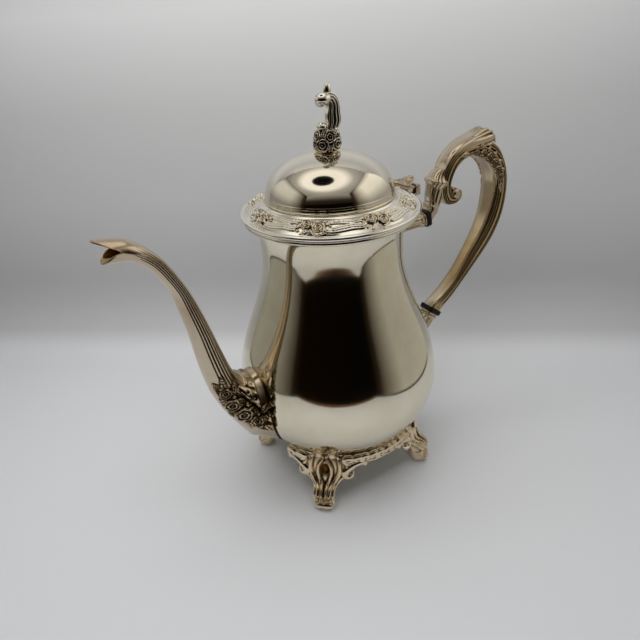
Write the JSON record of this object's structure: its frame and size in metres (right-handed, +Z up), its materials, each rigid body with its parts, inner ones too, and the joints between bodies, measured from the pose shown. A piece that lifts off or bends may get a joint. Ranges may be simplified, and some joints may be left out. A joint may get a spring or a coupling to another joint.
{
  "type": "coffee pot",
  "caption": "Footed silver coffee pot with a pear-shaped body, a hinged domed lid with a flower finial, a swan-neck spout and an insulated scroll handle.",
  "frame": {"origin": "centre of the round body, on the plane the feet stand on", "axes": "+Z up, +X towards the handle, -X towards the spout, +Y towards the far side when the spout is on the left"},
  "size_m": [0.2826, 0.131, 0.2572],
  "materials": {
    "silver_plate": "polished silver plate, tarnished in the recesses",
    "hinge_silver": "dull silver plate",
    "pins_and_nut": "plain turned metal",
    "insulator": "black composition"
  },
  "bodies": {
    "pot": {"body_shell": "silver_plate", "body_bottom": "silver_plate", "rim_moulding": "silver_plate", "spout": "silver_plate", "hinge_pin": "pins_and_nut", "body_hinge_leaf": "hinge_silver", "upper_socket": "silver_plate", "upper_insulator": "insulator", "handle": "silver_plate", "lower_insulator": "insulator", "lower_socket": "silver_plate", "insulator_pins": "pins_and_nut", "foot_front_left": "silver_plate", "foot_front_right": "silver_plate", "foot_back_right": "silver_plate", "foot_back_left": "silver_plate", "gallery_front": "silver_plate", "gallery_right": "silver_plate", "gallery_back": "silver_plate", "gallery_left": "silver_plate"},
    "lid": {"lid_dome": "silver_plate", "lid_border": "silver_plate", "lid_bezel": "silver_plate", "finial": "silver_plate", "finial_washer": "pins_and_nut", "finial_nut": "pins_and_nut", "lid_hinge_leaf": "hinge_silver"}
  },
  "joints": [
    {"name": "lid_hinge", "type": "hinge", "parent": "pot", "child": "lid", "pos_m": [0.0617, 0, 0.189], "axis": [0, 1, 0], "range_deg": [0, 95]}
  ]
}
